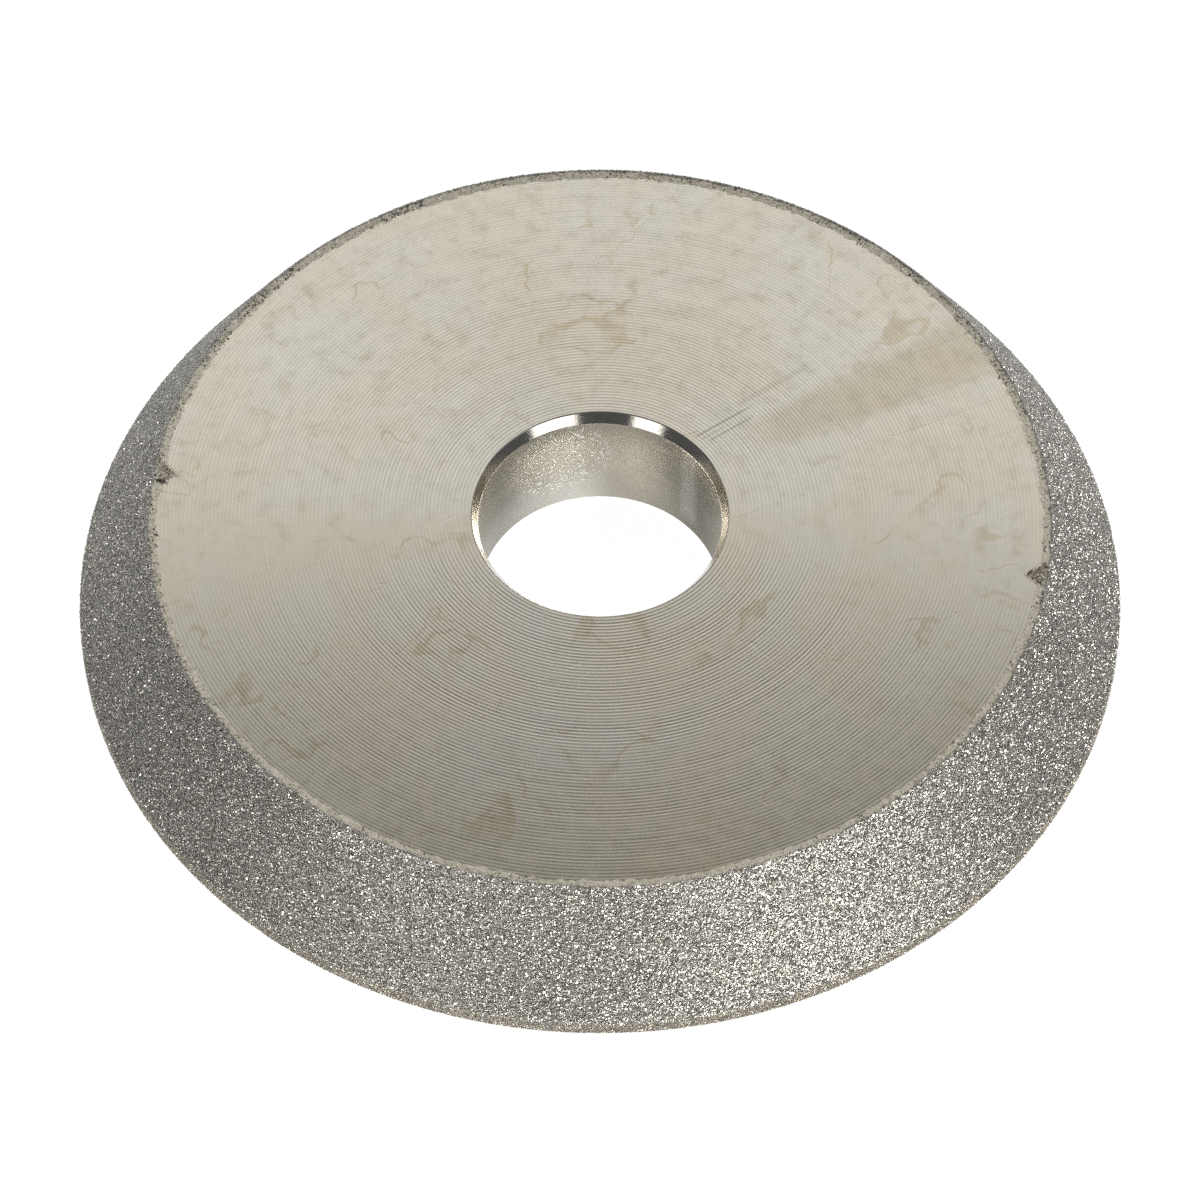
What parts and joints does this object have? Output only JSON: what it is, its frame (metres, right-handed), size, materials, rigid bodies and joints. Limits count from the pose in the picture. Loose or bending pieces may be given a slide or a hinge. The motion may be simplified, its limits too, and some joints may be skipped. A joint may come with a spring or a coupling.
{
  "type": "diamond grinding wheel",
  "caption": "Turned steel grinding wheel with a straight bevelled bore and a conical rim plated with diamond grit.",
  "frame": {"origin": "on the bore axis, in the plane of the flat back face", "axes": "+Z along the bore axis, out of the turned front face; the wheel lies on its back face"},
  "size_m": [0.078, 0.078, 0.0102],
  "materials": {
    "core_steel": "facing-turned steel with a thin warm nickel plate",
    "bond_nickel": "dull plated nickel",
    "cone_grit": "one layer of sparkling diamond grit held in nickel",
    "rim_grit": "finer, duller diamond grit in nickel",
    "lip_grit": "ragged cream-coloured crust of grit and nickel"
  },
  "bodies": {
    "root": {"steel_core": "core_steel", "nickel_bond": "bond_nickel", "cone_diamond_band": "cone_grit", "rim_diamond_band": "rim_grit", "edge_diamond_lip": "lip_grit"}
  },
  "joints": []
}
